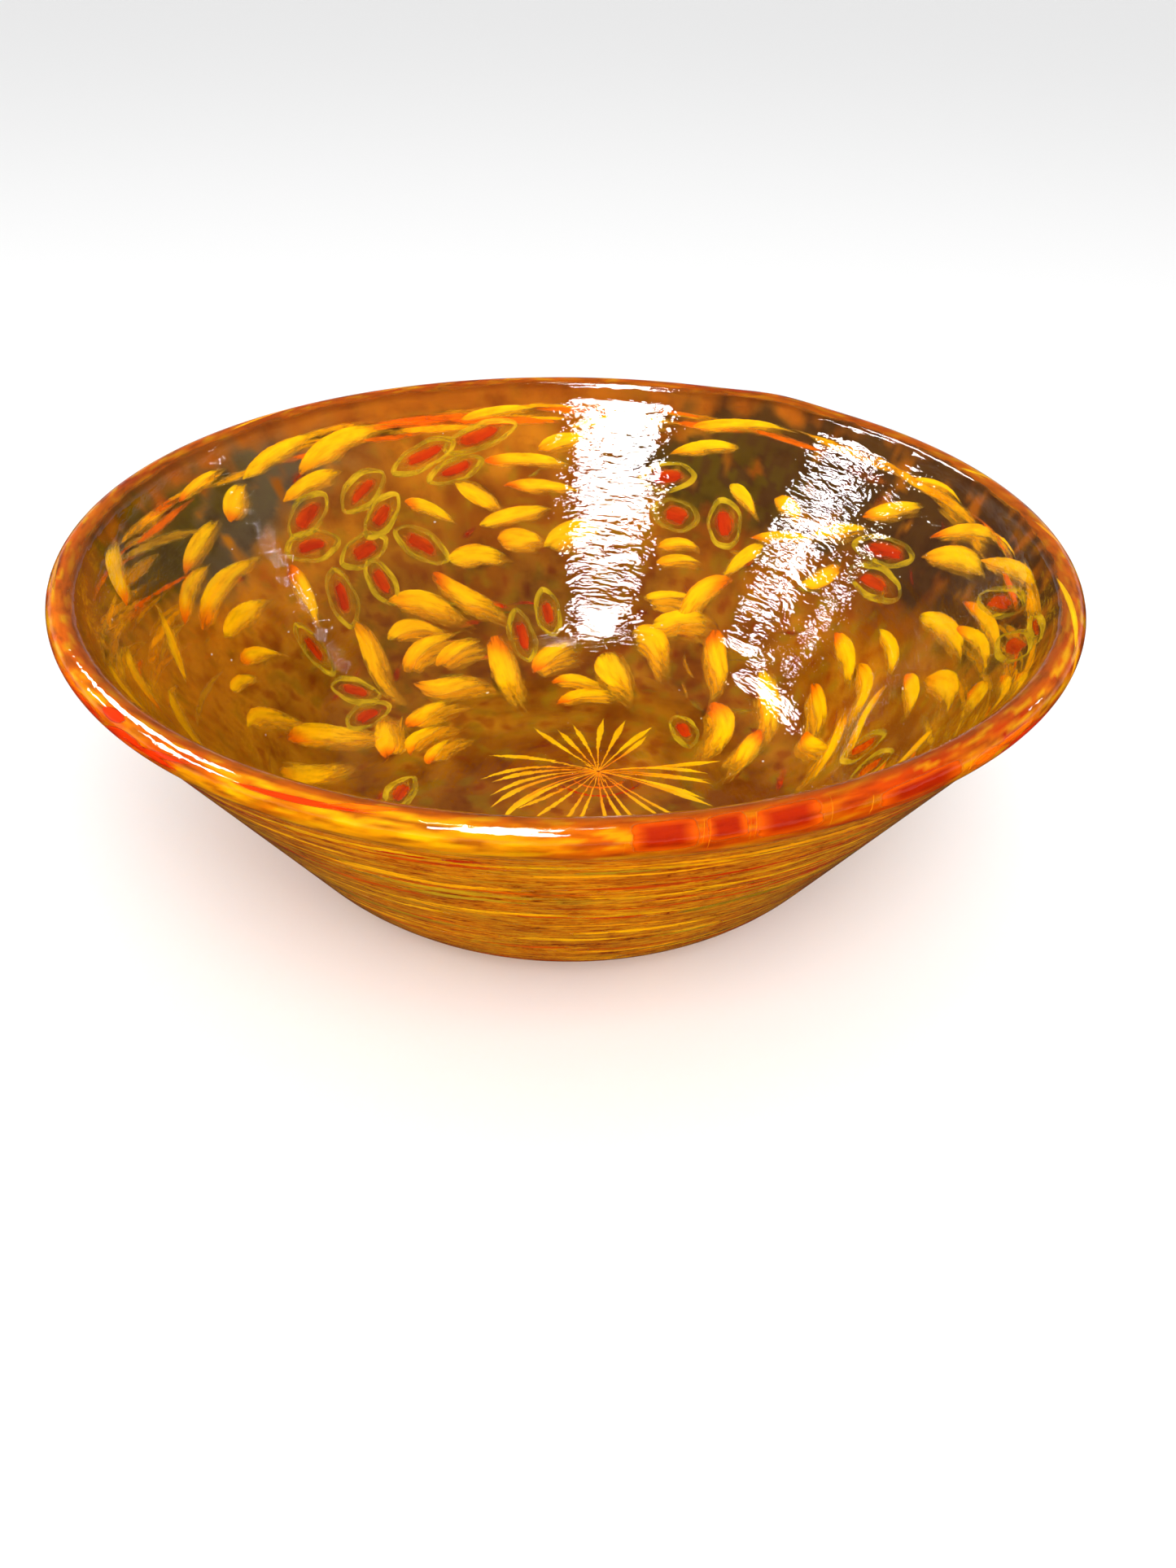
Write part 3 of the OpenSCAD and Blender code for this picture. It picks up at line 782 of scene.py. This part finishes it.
def ground_colour(phi, s):
    """Tan and brown glass; the dark patches near the lip are painted shade, the dark surroundings seen
    through clear glass.
    """
    w1 = wander(phi, s, 0.045, 1.7)
    w2 = wander(phi, s, 0.11, 5.1)
    w3 = wander(phi, s, 0.22, 9.3)
    c = blend(BROWN, TAN, np.clip(0.35 + 0.9 * w1 + 0.5 * w2, 0, 1))
    # painted light: a lighter tan patch on the left wall, for the stronger light on that side of the bowl
    c = blend(c, TAN, np.clip(1.2 * patch(phi, s, 188, 118, 46, 40) * (1 + w2), 0, 0.9))
    c = blend(c, ORANGE, np.clip(1.5 * (w3 - 0.1), 0, 0.5) * patch(phi, s, 190, 115, 50, 40))
    c = blend(c, AMBER, np.clip(0.35 * patch(phi, s, 200, 70, 70, 30) + 0.6 * (w2 > 0.25) * w3, 0, 0.6))
    c = blend(c, OLIVE, np.clip(1.6 * (w3 + 0.4 * w2 - 0.18), 0, 0.5))
    c = blend(c, CRIMSON, np.clip(1.8 * (-w3 + 0.5 * w1 - 0.22), 0, 0.55) * smooth(150, 95, s))
    c = blend(c, RUST, 0.75 * smooth(150, 158, s))
    torn = 1 + 1.6 * w2 + 0.8 * w3
    # painted shade: dark patches near the lip, at the left and the right, stand for the dark surroundings
    # seen through clear glass
    shade_seen_left_back = 1.6 * patch(phi, s, 150, 147, 15, 10) + 1.3 * patch(phi, s, 163, 138, 12, 9)
    shade_seen_left = 1.7 * patch(phi, s, 175, 148, 14, 12) + 0.8 * patch(phi, s, 160, 152, 12, 6)
    shade_seen_right = 1.9 * patch(phi, s, 26, 145, 30, 18) + 1.7 * patch(phi, s, 58, 142, 18, 14)
    shade_seen_right = shade_seen_right + 1.6 * patch(phi, s, 0, 150, 22, 13)
    c = blend(c, SLATE, np.clip(torn * shade_seen_left_back, 0, 0.97))
    c = blend(c, MOSS, np.clip(torn * shade_seen_left, 0, 0.95))
    c = blend(c, UMBER, np.clip(torn * shade_seen_right, 0, 0.96))
    c = blend(c, MOSS, 0.7 * np.clip(1.5 * patch(phi, s, 62, 134, 12, 14), 0, 1) * (w3 > 0))
    c = blend(c, UMBER, np.clip(0.55 * patch(phi, s, 110, 92, 60, 30) * (0.6 + w1), 0, 0.5))
    c = blend(c, ORANGE, 0.12 * smooth(30, 14, s))
    # darker towards the floor
    return c * (0.66 + 0.24 * smooth(60, 125, s))[:, None]


def outer_colour(phi, s):
    """The casing's amber, more orange near the lip."""
    w1 = wander(phi, s * 3.0, 0.02, 2.2)
    c = blend(AMBER, GOLD, np.clip(0.45 + 1.2 * w1, 0, 1))
    return blend(c, ORANGE, 0.35 * smooth(128, 156, s))


FLOOR_DEPTH = 1.15  # a skin's depth on the floor, against its depth in the side


def shell(name, n_in, n_out, s_end, colour, fade_in, mats, slot, nodes, rows=150, cols=420):
    """A closed skin of the wall between two depths, from the floor's centre up to s_end."""
    b = Build()
    floor_rows = 40
    s = np.r_[np.linspace(1.0, 50, floor_rows), np.linspace(51, s_end, rows - floor_rows)]
    phi = np.arange(cols) * 360 / cols
    pp, ss = np.meshgrid(phi, s)
    pp, ss = pp.ravel(), ss.ravel()
    sides = []
    for n in (n_in, n_out):
        depth = n * np.where(ss < 60, FLOOR_DEPTH, 1.0)
        sides.append(wall_point(pp, ss, depth))
    m = len(pp)
    middles = [wall_point(0, [0.0], n * FLOOR_DEPTH) for n in (n_in, n_out)]
    verts = np.concatenate(sides + middles)
    faces = []
    for i in range(rows - 1):
        for j in range(cols):
            k = (j + 1) % cols
            q = (i * cols + j, i * cols + k, (i + 1) * cols + k, (i + 1) * cols + j)
            faces.append(q)
            faces.append(tuple(x + m for x in reversed(q)))
    last = (rows - 1) * cols
    for j in range(cols):
        k = (j + 1) % cols
        faces.append((last + j, last + k, last + k + m, last + j + m))
        faces.append((k, j, 2 * m))
        faces.append((m + j, m + k, 2 * m + 1))
    tint = colour(pp, ss)
    tint = np.concatenate([tint, tint, tint[:1], tint[:1]])
    fade = np.full(2 * m + 2, fade_in)
    flow_s = np.r_[ss, ss, 0, 0]
    flow = np.c_[verts[:, 0] * 0.1, verts[:, 1] * 0.1, flow_s * 0.1]
    b.add(verts, faces, tint, fade, flow)
    b.make(name, mats, slot, *nodes)


def streaky_glass(name):
    """Amber glass with fine trails drawn round the bowl."""
    m, nt, bsdf = material(name, Roughness=0.45, Specular_IOR_Level=0.0)
    tint, fade = attribute(nt, "tint"), attribute(nt, "fade")
    drawn = drawn_out(nt, (0.32, 0.32, 3.0))
    broad = noise_node(nt, drawn, 0.8, 4.0, 0.6, 1.4)
    fine = noise_node(nt, drawn, 2.4, 5.0, 0.7, 1.5)
    hair = noise_node(nt, drawn, 8.0, 3.0, 0.6, 0.5)
    band = ramp(nt, broad, (0.28, (0.36, 0.075, 0.006)), (0.42, (0.62, 0.24, 0.008)),
                (0.52, (0.80, 0.36, 0.008)), (0.62, (0.55, 0.33, 0.014)), (0.75, (0.30, 0.13, 0.01)))
    thin = ramp(nt, fine, (0.36, (0.30, 0.05, 0.004)), (0.45, (0.9, 0.5, 0.3)), (0.56, (1.0, 1.0, 1.0)),
                (0.7, (1.2, 1.25, 0.9)))
    line = ramp(nt, hair, (0.36, (0.55, 0.40, 0.3)), (0.48, (1.0, 1.0, 1.0)))
    colour = mix_colour(nt, "MIX", 0.6, tint.outputs["Color"], band)
    colour = mix_colour(nt, "MULTIPLY", 0.9, colour, thin)
    colour = mix_colour(nt, "MULTIPLY", 0.8, colour, line)
    nt.links.new(colour, bsdf.inputs["Base Color"])
    clear = node(nt, "ShaderNodeBsdfTransparent")
    mix = mix_shader(nt, fade.outputs["Fac"], clear.outputs[0], lit_through(nt, bsdf, colour, 0.3))
    nt.links.new(mix, nt.nodes["Material Output"].inputs["Surface"])
    return m


STREAKY = streaky_glass("streaky_amber_glass")
GROUND_NODES = [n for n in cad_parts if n.startswith("ground_")]
lip_foot = BEAD_X + 2.6
LIP_END = float(along_of(SIDE_TOP + lip_foot * COS - WALL / 2 * SIN, TALL + lip_foot * SIN + WALL / 2 * COS))
FILM_END = 158.0
FILM_BACK = -1.85
shell("ground_layer", -0.02, -0.7, LIP_END, ground_colour, 0.93, GROUND, "ground_glass", GROUND_NODES)
shell("amber_casing_film", -1.6, FILM_BACK, FILM_END, outer_colour, 0.88, STREAKY, "casing_glass", [],
      rows=110, cols=360)

# trails of coloured glass on the outside
trails = {"red": Build(), "gold": Build(), "olive": Build()}
for k in range(420):
    s = rng.uniform(58, 152)
    phi = rng.uniform(0, 360)
    kind = rng.choice(["red", "red", "gold", "gold", "gold", "olive"])
    length = rng.uniform(14, 70) * (0.6 + s / 250)
    lean = rng.gauss(0.0, 0.035) + 0.03 * math.sin(math.radians(phi * 2))
    t = np.linspace(0.01, 0.99, 22)
    along = (t - 0.5) * length
    bow = rng.uniform(-0.02, 0.02) * length
    across = along * lean + bow * (2 * t - 1) ** 2 + 0.25 * np.sin(along * 0.25 + k)
    wide = rng.uniform(0.5, 1.9) * (1.3 if kind != "red" else 0.9)
    shade = rng.random()
    picks = {"red": (SCARLET, ORANGE), "gold": (YELLOW, GOLD), "olive": (OLIVE, LIME)}[kind]
    a = rng.uniform(0.3, 1.4)
    half = wide / 2 * t ** a * (1 - t) ** (1.7 - a)
    half = half / half.max() * wide / 2
    strength = rng.uniform(0.55, 0.95)
    depth = FILM_BACK - 0.02 - 0.04 * rng.random()
    blade(trails[kind], (phi, s), np.c_[along, across], half, 0.22, 0.18, depth,
          lambda tt, ss: blend(picks[0], picks[1], np.full(len(tt), shade)),
          lambda tt, ss: strength * (0.35 + 0.65 * swelling(tt, 0.6)), ring=6)
trails["red"].make("outer_trails_red", THREAD, "red_glass", "red_streaks")
trails["gold"].make("outer_trails_gold", THREAD, "yellow_glass", "yellow_streaks")
trails["olive"].make("outer_trails_olive", THREAD, "green_glass")


# ---- lip
WRAP_DEPTH = 0.75  # of the lip's colour below its skin
LIP_DOWN = 13.0  # how far down the side the lip's section starts


def lip_profile(inset, s_low, m_side, m_cap):
    """Half section of the lip inset from its skin: up the outside, over the bead, down the inside."""
    xs = np.linspace(-s_low, BEAD_X, m_side)
    swell = (BEAD - WALL / 2) * smooth(-s_low, BEAD_X, xs) ** 2
    mid = WALL / 2
    half = mid + swell - inset
    outer = np.c_[xs, mid - half]
    th = np.linspace(-math.pi / 2, math.pi / 2, m_cap)[1:-1]
    cap = np.c_[BEAD_X + (BEAD - inset) * np.cos(th), mid + (BEAD - inset) * np.sin(th)]
    inner = np.c_[xs, mid + half][::-1]
    prof = np.concatenate([outer, cap, inner])
    r = SIDE_TOP + prof[:, 0] * COS - prof[:, 1] * SIN
    z = TALL + prof[:, 0] * SIN + prof[:, 1] * COS
    return r, z


def revolved(r, z, cols):
    """The vertices (cols, points, 3) of a section turned round the bowl's axis."""
    phi = np.arange(cols)[:, None] * 2 * math.pi / cols
    heights = np.repeat(z[None], cols, 0)
    return np.stack([r[None] * np.cos(phi), r[None] * np.sin(phi), heights], -1)


def lengths(r, z):
    """Distance run along a section at each of its points."""
    return np.r_[0, np.cumsum(np.hypot(np.diff(r), np.diff(z)))]


def revolve(b, r, z, cols, tint, fade):
    """A closed ring of the section r, z; tint and fade are called with degrees and the share of the run."""
    m = len(r)
    verts = revolved(r, z, cols)
    steps = lengths(r, z)
    flow = np.stack([verts[..., 0] * 0.1, verts[..., 1] * 0.1, np.repeat(steps[None], cols, 0) * 0.1], -1)
    faces = []
    for i in range(cols):
        j = (i + 1) % cols
        for k in range(m):
            after = (k + 1) % m
            faces.append((i * m + k, j * m + k, j * m + after, i * m + after))
    phi = np.arange(cols) * 2 * math.pi / cols
    pp = np.repeat(np.degrees(phi)[:, None], m, 1).ravel()
    kk = np.repeat((steps / steps[-1])[None], cols, 0).ravel()
    b.add(verts.reshape(-1, 3), faces, tint(pp, kk), fade(pp, kk), flow.reshape(-1, 3))


def lip_colour(pp, kk):
    """Orange and scarlet wrap with gold streaks, browner at the inside edge (kk above 0.5)."""
    w1 = wander(pp, 40 + kk * 46, 0.05, 3.3)
    w2 = wander(pp, 90 + kk * 90, 0.10, 7.7)
    w3 = wander(pp + 14 * kk, 60 + kk * 260, 0.10, 4.1)
    c = blend(ORANGE, SCARLET, np.clip(0.40 + 1.6 * w1, 0, 1))
    c = blend(c, GOLD, np.clip(0.25 + 2.4 * w2, 0, 0.8) * smooth(0.62, 0.34, kk))
    c = blend(c, GOLD, 0.85 * bump_at(pp, 256, 14) * smooth(0.6, 0.45, kk))
    c = blend(c, YELLOW, np.clip(3.0 * (w3 - 0.12), 0, 0.75))
    c = blend(c, (0.30, 0.06, 0.004), np.clip(3.0 * (-w3 - 0.12), 0, 0.8))
    c = blend(c, SCARLET, 0.6 * bump_at(pp, 290, 18) * smooth(0.2, 0.35, kk))
    return 0.74 * blend(c, (0.36, 0.09, 0.005), 0.8 * smooth(0.50, 0.62, kk))


LIP = inlay_glass("lip_glass", 2.2, 0.3, 0.4, 0.7, 1.3, (0.4, 0.4, 3.0))
lip = Build()
lip_r, lip_z = lip_profile(WRAP_DEPTH, LIP_DOWN + 2, 16, 16)
revolve(lip, lip_r, lip_z, 420, lip_colour, lambda pp, kk: smooth(0.70, 0.58, kk) * smooth(0.0, 0.34, kk))
lip.make("lip_colour_wrap", LIP, "lip_glass", "lip_wrap", thin=False)


def lip_point(phi, k, lift):
    """A point over the lip's coloured wrap: k runs from the outside (0) over the top to the inside (1)."""
    r, z = lip_profile(WRAP_DEPTH - lift, LIP_DOWN - 1, 40, 40)
    steps = lengths(r, z)
    steps /= steps[-1]
    rr, zz = np.interp(k, steps, r), np.interp(k, steps, z)
    p = np.radians(phi)
    return np.stack([rr * np.cos(p), rr * np.sin(p), zz], -1)


def lip_strip(b, ph0, ph1, k0, k1, wide, colour, fade, lift=0.04, a=0.9, c=0.9, ring=8):
    """A strip laid over the lip from (ph0, k0) to (ph1, k1), blunter at its ends the lower a and c."""
    m = 36
    thick = 0.3
    t = np.linspace(0.01, 0.99, m)
    half = t ** a * (1 - t) ** c
    half = half / half.max() * wide / 2
    th = np.arange(ring) * 2 * math.pi / ring
    phi = ph0 + (ph1 - ph0) * t[:, None] + 0 * th[None]
    k = k0 + (k1 - k0) * t[:, None] + half[:, None] * np.cos(th)[None]
    lo = lip_point(phi.ravel(), k.ravel(), lift - thick / 2)
    hi = lip_point(phi.ravel(), k.ravel(), lift + thick / 2)
    w = (0.5 + 0.5 * np.sin(th))[None].repeat(m, 0).ravel()[:, None]
    verts = lo * (1 - w) + hi * w
    tips = lip_point(np.array([ph0, ph1]), np.array([k0, k1]), lift)
    tt = np.r_[np.repeat(t, ring), 0, 1]
    ss = np.r_[np.tile(np.cos(th), m), 0, 0]
    flow = np.c_[tt * abs(ph1 - ph0) * 0.07, ss * wide * 3.0, np.full(len(tt), ph0)]
    b.add(np.concatenate([verts, tips]), sweep_faces(m, ring), colour(tt, ss), fade(tt, ss), flow)


def soft_ends(strength):
    return lambda tt, ss: strength * (1 - 0.5 * smooth(0.5, 1.0, np.abs(ss))) * swelling(tt, 0.35)


# yellow and gold slashes round the lip, except over its red blocks
slashes = Build()
at, last = 322.0, 360 + 190
while at < last:
    span = rng.uniform(7, 20)
    c = rng.choice([YELLOW, GOLD, GOLD, AMBER])
    k0 = rng.uniform(0.18, 0.5)
    lip_strip(slashes, at, at + span, k0, k0 + rng.uniform(0.05, 0.3), rng.uniform(0.03, 0.10),
              flat_colour(c), soft_ends(rng.uniform(0.6, 1.0)))
    at += span * rng.uniform(0.5, 1.1)
slashes.make("lip_slashes", THREAD, "yellow_glass", "lip_yellow_slashes", thin=False)


def block_colour(tt, ss):
    """Deep red that turns orange at the block's edges."""
    edge = np.maximum(np.abs(ss), np.abs(2 * tt - 1))
    return blend((0.30, 0.014, 0.0005), ORANGE, 0.55 * smooth(0.35, 0.95, edge))


def block_fade(tt, ss):
    return (1 - smooth(0.55, 1.0, np.abs(ss))) * smooth(0, 0.16, tt) * smooth(1, 0.84, tt)


# red blocks at the front, each with a thin gold line at either end
blocks = Build()
for p0, p1, k0, w in (
    (274.6, 280.9, 0.43, 0.33),
    (280.9, 284.8, 0.45, 0.27),
    (284.8, 291.6, 0.43, 0.32),
    (296, 307, 0.38, 0.2),
):
    lip_strip(blocks, p0, p1, k0, k0 + 0.02, w, block_colour, block_fade, a=0.14, c=0.12, lift=0.03, ring=28)
    for q in (p0 - 0.3, p1 + 0.2):
        lip_strip(blocks, q, q + 0.5, k0 - w * 0.55, k0 + w * 0.5, 0.012, flat_colour(GOLD), soft_ends(0.8),
                  lift=0.06)
# scattered red and orange patches elsewhere
for k in range(34):
    p0 = rng.uniform(0, 360)
    if 256 < p0 < 300:
        continue
    span = rng.uniform(4, 16)
    k0 = rng.uniform(0.15, 0.5)
    lip_strip(blocks, p0, p0 + span, k0, k0 + rng.uniform(-0.05, 0.12), rng.uniform(0.05, 0.16),
              flat_colour(rng.choice([SCARLET, SCARLET, ORANGE])), soft_ends(rng.uniform(0.5, 0.95)),
              lift=0.03)
blocks.make("lip_red_patches", RED, "red_glass", "lip_red_blocks", thin=False)


# ---- clear body
SEAL_HEIGHT = 0.35  # of the polished seal's hollow above the resting face


def body_profile():
    """Closed half section of the whole bowl from the foot's centre round to the floor's centre."""
    c0 = turn_centre(OUTSIDE)[0]
    turn_end = c0 + OUTSIDE[2] * SLOPE
    out = [(8.2, SEAL_HEIGHT), (8.9, 0.12), (9.6, 0.0), (30.0, 0.0), (c0 - 1.5, 0.0)]
    r, z, _ = on_surface(OUTSIDE, np.linspace(c0, turn_end, 22))
    out += list(zip(r, z))
    full = (SIDE_TOP - r[-1]) / COS
    side = np.linspace(0, full - LIP_DOWN, 34)[1:-1]
    out += [(r[-1] + q * COS, z[-1] + q * SIN) for q in side]
    lip_r, lip_z = lip_profile(0.0, LIP_DOWN, 16, 22)
    out += list(zip(lip_r, lip_z))
    i0 = turn_centre(INSIDE)[0]
    r, z, _ = on_surface(INSIDE, np.linspace(i0 + INSIDE[2] * SLOPE, i0, 24))
    top = np.array([lip_r[-1], lip_z[-1]])
    low = np.array([r[0], z[0]])
    out += [tuple(top + (low - top) * q) for q in np.linspace(0, 1, 34)[1:-1]]
    out += list(zip(r, z))
    out += [(q, FLOOR_TOP) for q in (38.0, 25.0, 12.0, 4.0)]
    return np.array(out)


INNER, LIP_SKIN, OUTER = 0, 1, 2  # the body's material slots, as CLEAR lists them
prof = body_profile()
body = Build()
cols = 360
m = len(prof)
ring_v = revolved(prof[:, 0], prof[:, 1], cols).reshape(-1, 3)
steps = lengths(prof[:, 0], prof[:, 1])
flow = np.c_[ring_v[:, 0] * 0.06, ring_v[:, 1] * 0.06, np.tile(steps * 0.16, cols)]
verts = np.concatenate([ring_v, [[0, 0, SEAL_HEIGHT], [0, 0, FLOOR_TOP]]])
flow = np.concatenate([flow, [[0, 0, 0], [0, 0, steps[-1] * 0.16]]])
above = prof[:, 1] > TALL - 7.0
for i in range(cols):
    j = (i + 1) % cols
    rows = {INNER: [], LIP_SKIN: [], OUTER: []}
    for k in range(m - 1):
        kind = LIP_SKIN if above[k] and above[k + 1] else OUTER if k < np.argmax(above) + 2 else INNER
        rows[kind].append((i * m + k, j * m + k, j * m + k + 1, i * m + k + 1))
    rows[OUTER].append((cols * m, j * m, i * m))
    rows[INNER].append((cols * m + 1, i * m + m - 1, j * m + m - 1))
    for kind, faces in rows.items():
        body.add_faces(faces, kind)
body.add(verts, [], (1, 1, 1), 1.0, flow)
body.make("cased_glass_body", CLEAR, "lining_glass", "clear_lining", "streaked_casing", "punty_seal",
          thin=False)

# tiny seeds: air bubbles in the clear glass, drawn as pale spots that are a painted glint
seeds = Build()
for k in range(46):
    phi, s = rng.uniform(0, 360), rng.uniform(30, 150)
    size = rng.uniform(0.12, 0.34)
    t = np.linspace(0.08, 0.92, 8)
    along = (t - 0.5) * size * 3.2
    blade(seeds, (phi, s), np.c_[along, along * 0], size * np.sin(np.pi * t), size * 0.8, size * 0.8, 1.35,
          flat_colour((0.95, 0.9, 0.8)), lambda tt, ss: np.full(len(tt), 0.55), ring=8)
BUBBLE_GLINT = inlay_glass("seed_bubble_glass", 3.0, 0.1, 0.1)
seeds.make("air_seeds", BUBBLE_GLINT, "lining_glass")

# ---- studio
scene = bpy.context.scene
me = bpy.data.meshes.new("studio_floor")
me.from_pydata([(-6, -6, 0), (6, -6, 0), (6, 6, 0), (-6, 6, 0)], [], [(0, 1, 2, 3)])
floor = bpy.data.objects.new("studio_floor", me)
floor.location.z = -0.0003
scene.collection.objects.link(floor)
paint = material("studio_floor_paint", Base_Color=(0.93, 0.93, 0.92), Roughness=0.7, Specular_IOR_Level=0.1)
me.materials.append(paint[0])
floor.visible_glossy = False  # the bowl's gloss mirrors the world below, not the floor

# plain pale surround; in mirror reflections it is darker, with a soft lighter band at the horizon
world = bpy.data.worlds.new("studio_world")
scene.world = world
world.use_nodes = True
sky = world.node_tree
where = node(sky, "ShaderNodeTexCoord")
axes = node(sky, "ShaderNodeSeparateXYZ")
sky.links.new(where.outputs["Generated"], axes.inputs[0])
height = maths(sky, "MULTIPLY_ADD", axes.outputs["Z"], 0.5)
height.node.inputs[2].default_value = 0.5
mirrored = ramp(sky, height, (0.44, (0.02, 0.02, 0.02)), (0.49, (0.4, 0.4, 0.4)), (0.53, (0.45, 0.46, 0.47)),
                (0.60, (0.10, 0.10, 0.11)))
path = node(sky, "ShaderNodeLightPath")
soft_sky = mix_colour(sky, "MIX", path.outputs["Is Glossy Ray"], (0.92, 0.92, 0.93), mirrored)
sky.links.new(soft_sky, sky.nodes["Background"].inputs[0])

# places on the bowl, in metres, that the lights are aimed at
BACK = (0.016, 0.110, 0.060)
LOW_BACK = (0.012, 0.076, 0.018)
RIGHT = (0.076, 0.069, 0.060)
TURN_RIGHT = (0.060, 0.055, 0.028)
LOW_RIGHT = (0.080, 0.044, 0.041)
LEFT = (-0.085, 0.047, 0.050)
LIP_LEFT = (-0.080, -0.094, 0.088)
LIP_FRONT = (-0.013, -0.121, 0.088)
MIDDLE_AIR = (0.0, 0.0, 0.05)


def softbox(name, azimuth, elevation, distance, wide, tall, power, about=MIDDLE_AIR, roll=0, glint=True):
    """An area light by its direction from a place on the bowl: azimuth 0 is the viewer's side.

    A glint light shows only as a reflection in the glass; the others only light the bowl."""
    az, el = math.radians(azimuth), math.radians(elevation)
    away = Vector((math.sin(az) * math.cos(el), -math.cos(az) * math.cos(el), math.sin(el)))
    light = bpy.data.lights.new(name, "AREA")
    light.shape = "RECTANGLE"
    light.size, light.size_y = wide, tall
    light.energy = power
    ob = bpy.data.objects.new(name, light)
    ob.location = Vector(about) + away * distance
    ob.rotation_euler = (away.to_track_quat("Z", "Y") @ Quaternion((0, 0, 1), math.radians(roll))).to_euler()
    ob.visible_camera = False
    ob.visible_diffuse, ob.visible_glossy = not glint, glint
    scene.collection.objects.link(ob)


# azimuth, elevation, distance, width, height and power
softbox("front_window", -16, 43, 1.3, 0.46, 0.26, 13, BACK)
softbox("upper_window", -20, 60, 1.3, 0.26, 0.52, 15, LOW_BACK)
softbox("side_strip", -86, 31.5, 1.5, 0.54, 0.10, 8, RIGHT)
softbox("turn_strip", -86, 28, 1.5, 0.13, 0.13, 2, TURN_RIGHT)
softbox("low_side_strip", -105, 21, 1.5, 0.12, 0.08, 1.2, LOW_RIGHT)
softbox("left_lip_strip", -130, 40, 1.5, 0.72, 0.22, 16, LIP_LEFT, roll=42)
softbox("front_lip_strip", -52, 80, 1.4, 0.74, 0.03, 3, LIP_FRONT, roll=85)
softbox("left_glint", 106, 21, 1.5, 0.012, 0.11, 0.2, LEFT)
softbox("key_light", 8, 52, 1.5, 0.9, 0.7, 13, glint=False)
softbox("viewer_fill", 0, 6, 1.7, 2.2, 0.35, 10, glint=False)

cam = bpy.data.cameras.new("camera")
cam.sensor_width = 36.0
cam.lens = 27.28
cam_ob = bpy.data.objects.new("camera", cam)
scene.collection.objects.link(cam_ob)
# at the photograph's viewing angle
eye = Vector((-0.0007, -0.2810, 0.2124))
pitch, yaw, roll = 0.6297, 0.0250, 0.0288
fwd = Vector((math.sin(yaw) * math.cos(pitch), math.cos(yaw) * math.cos(pitch), -math.sin(pitch)))
right = fwd.cross(Vector((0, 0, 1))).normalized()
up = right.cross(fwd)
r2 = right * math.cos(roll) + up * math.sin(roll)
u2 = up * math.cos(roll) - right * math.sin(roll)
rot = Matrix((r2, u2, -fwd)).transposed().to_4x4()
cam_ob.matrix_world = Matrix.Translation(eye) @ rot
scene.camera = cam_ob
scene.view_settings.view_transform = "Standard"
scene.view_settings.look = "None"

bpy.context.view_layer.update()
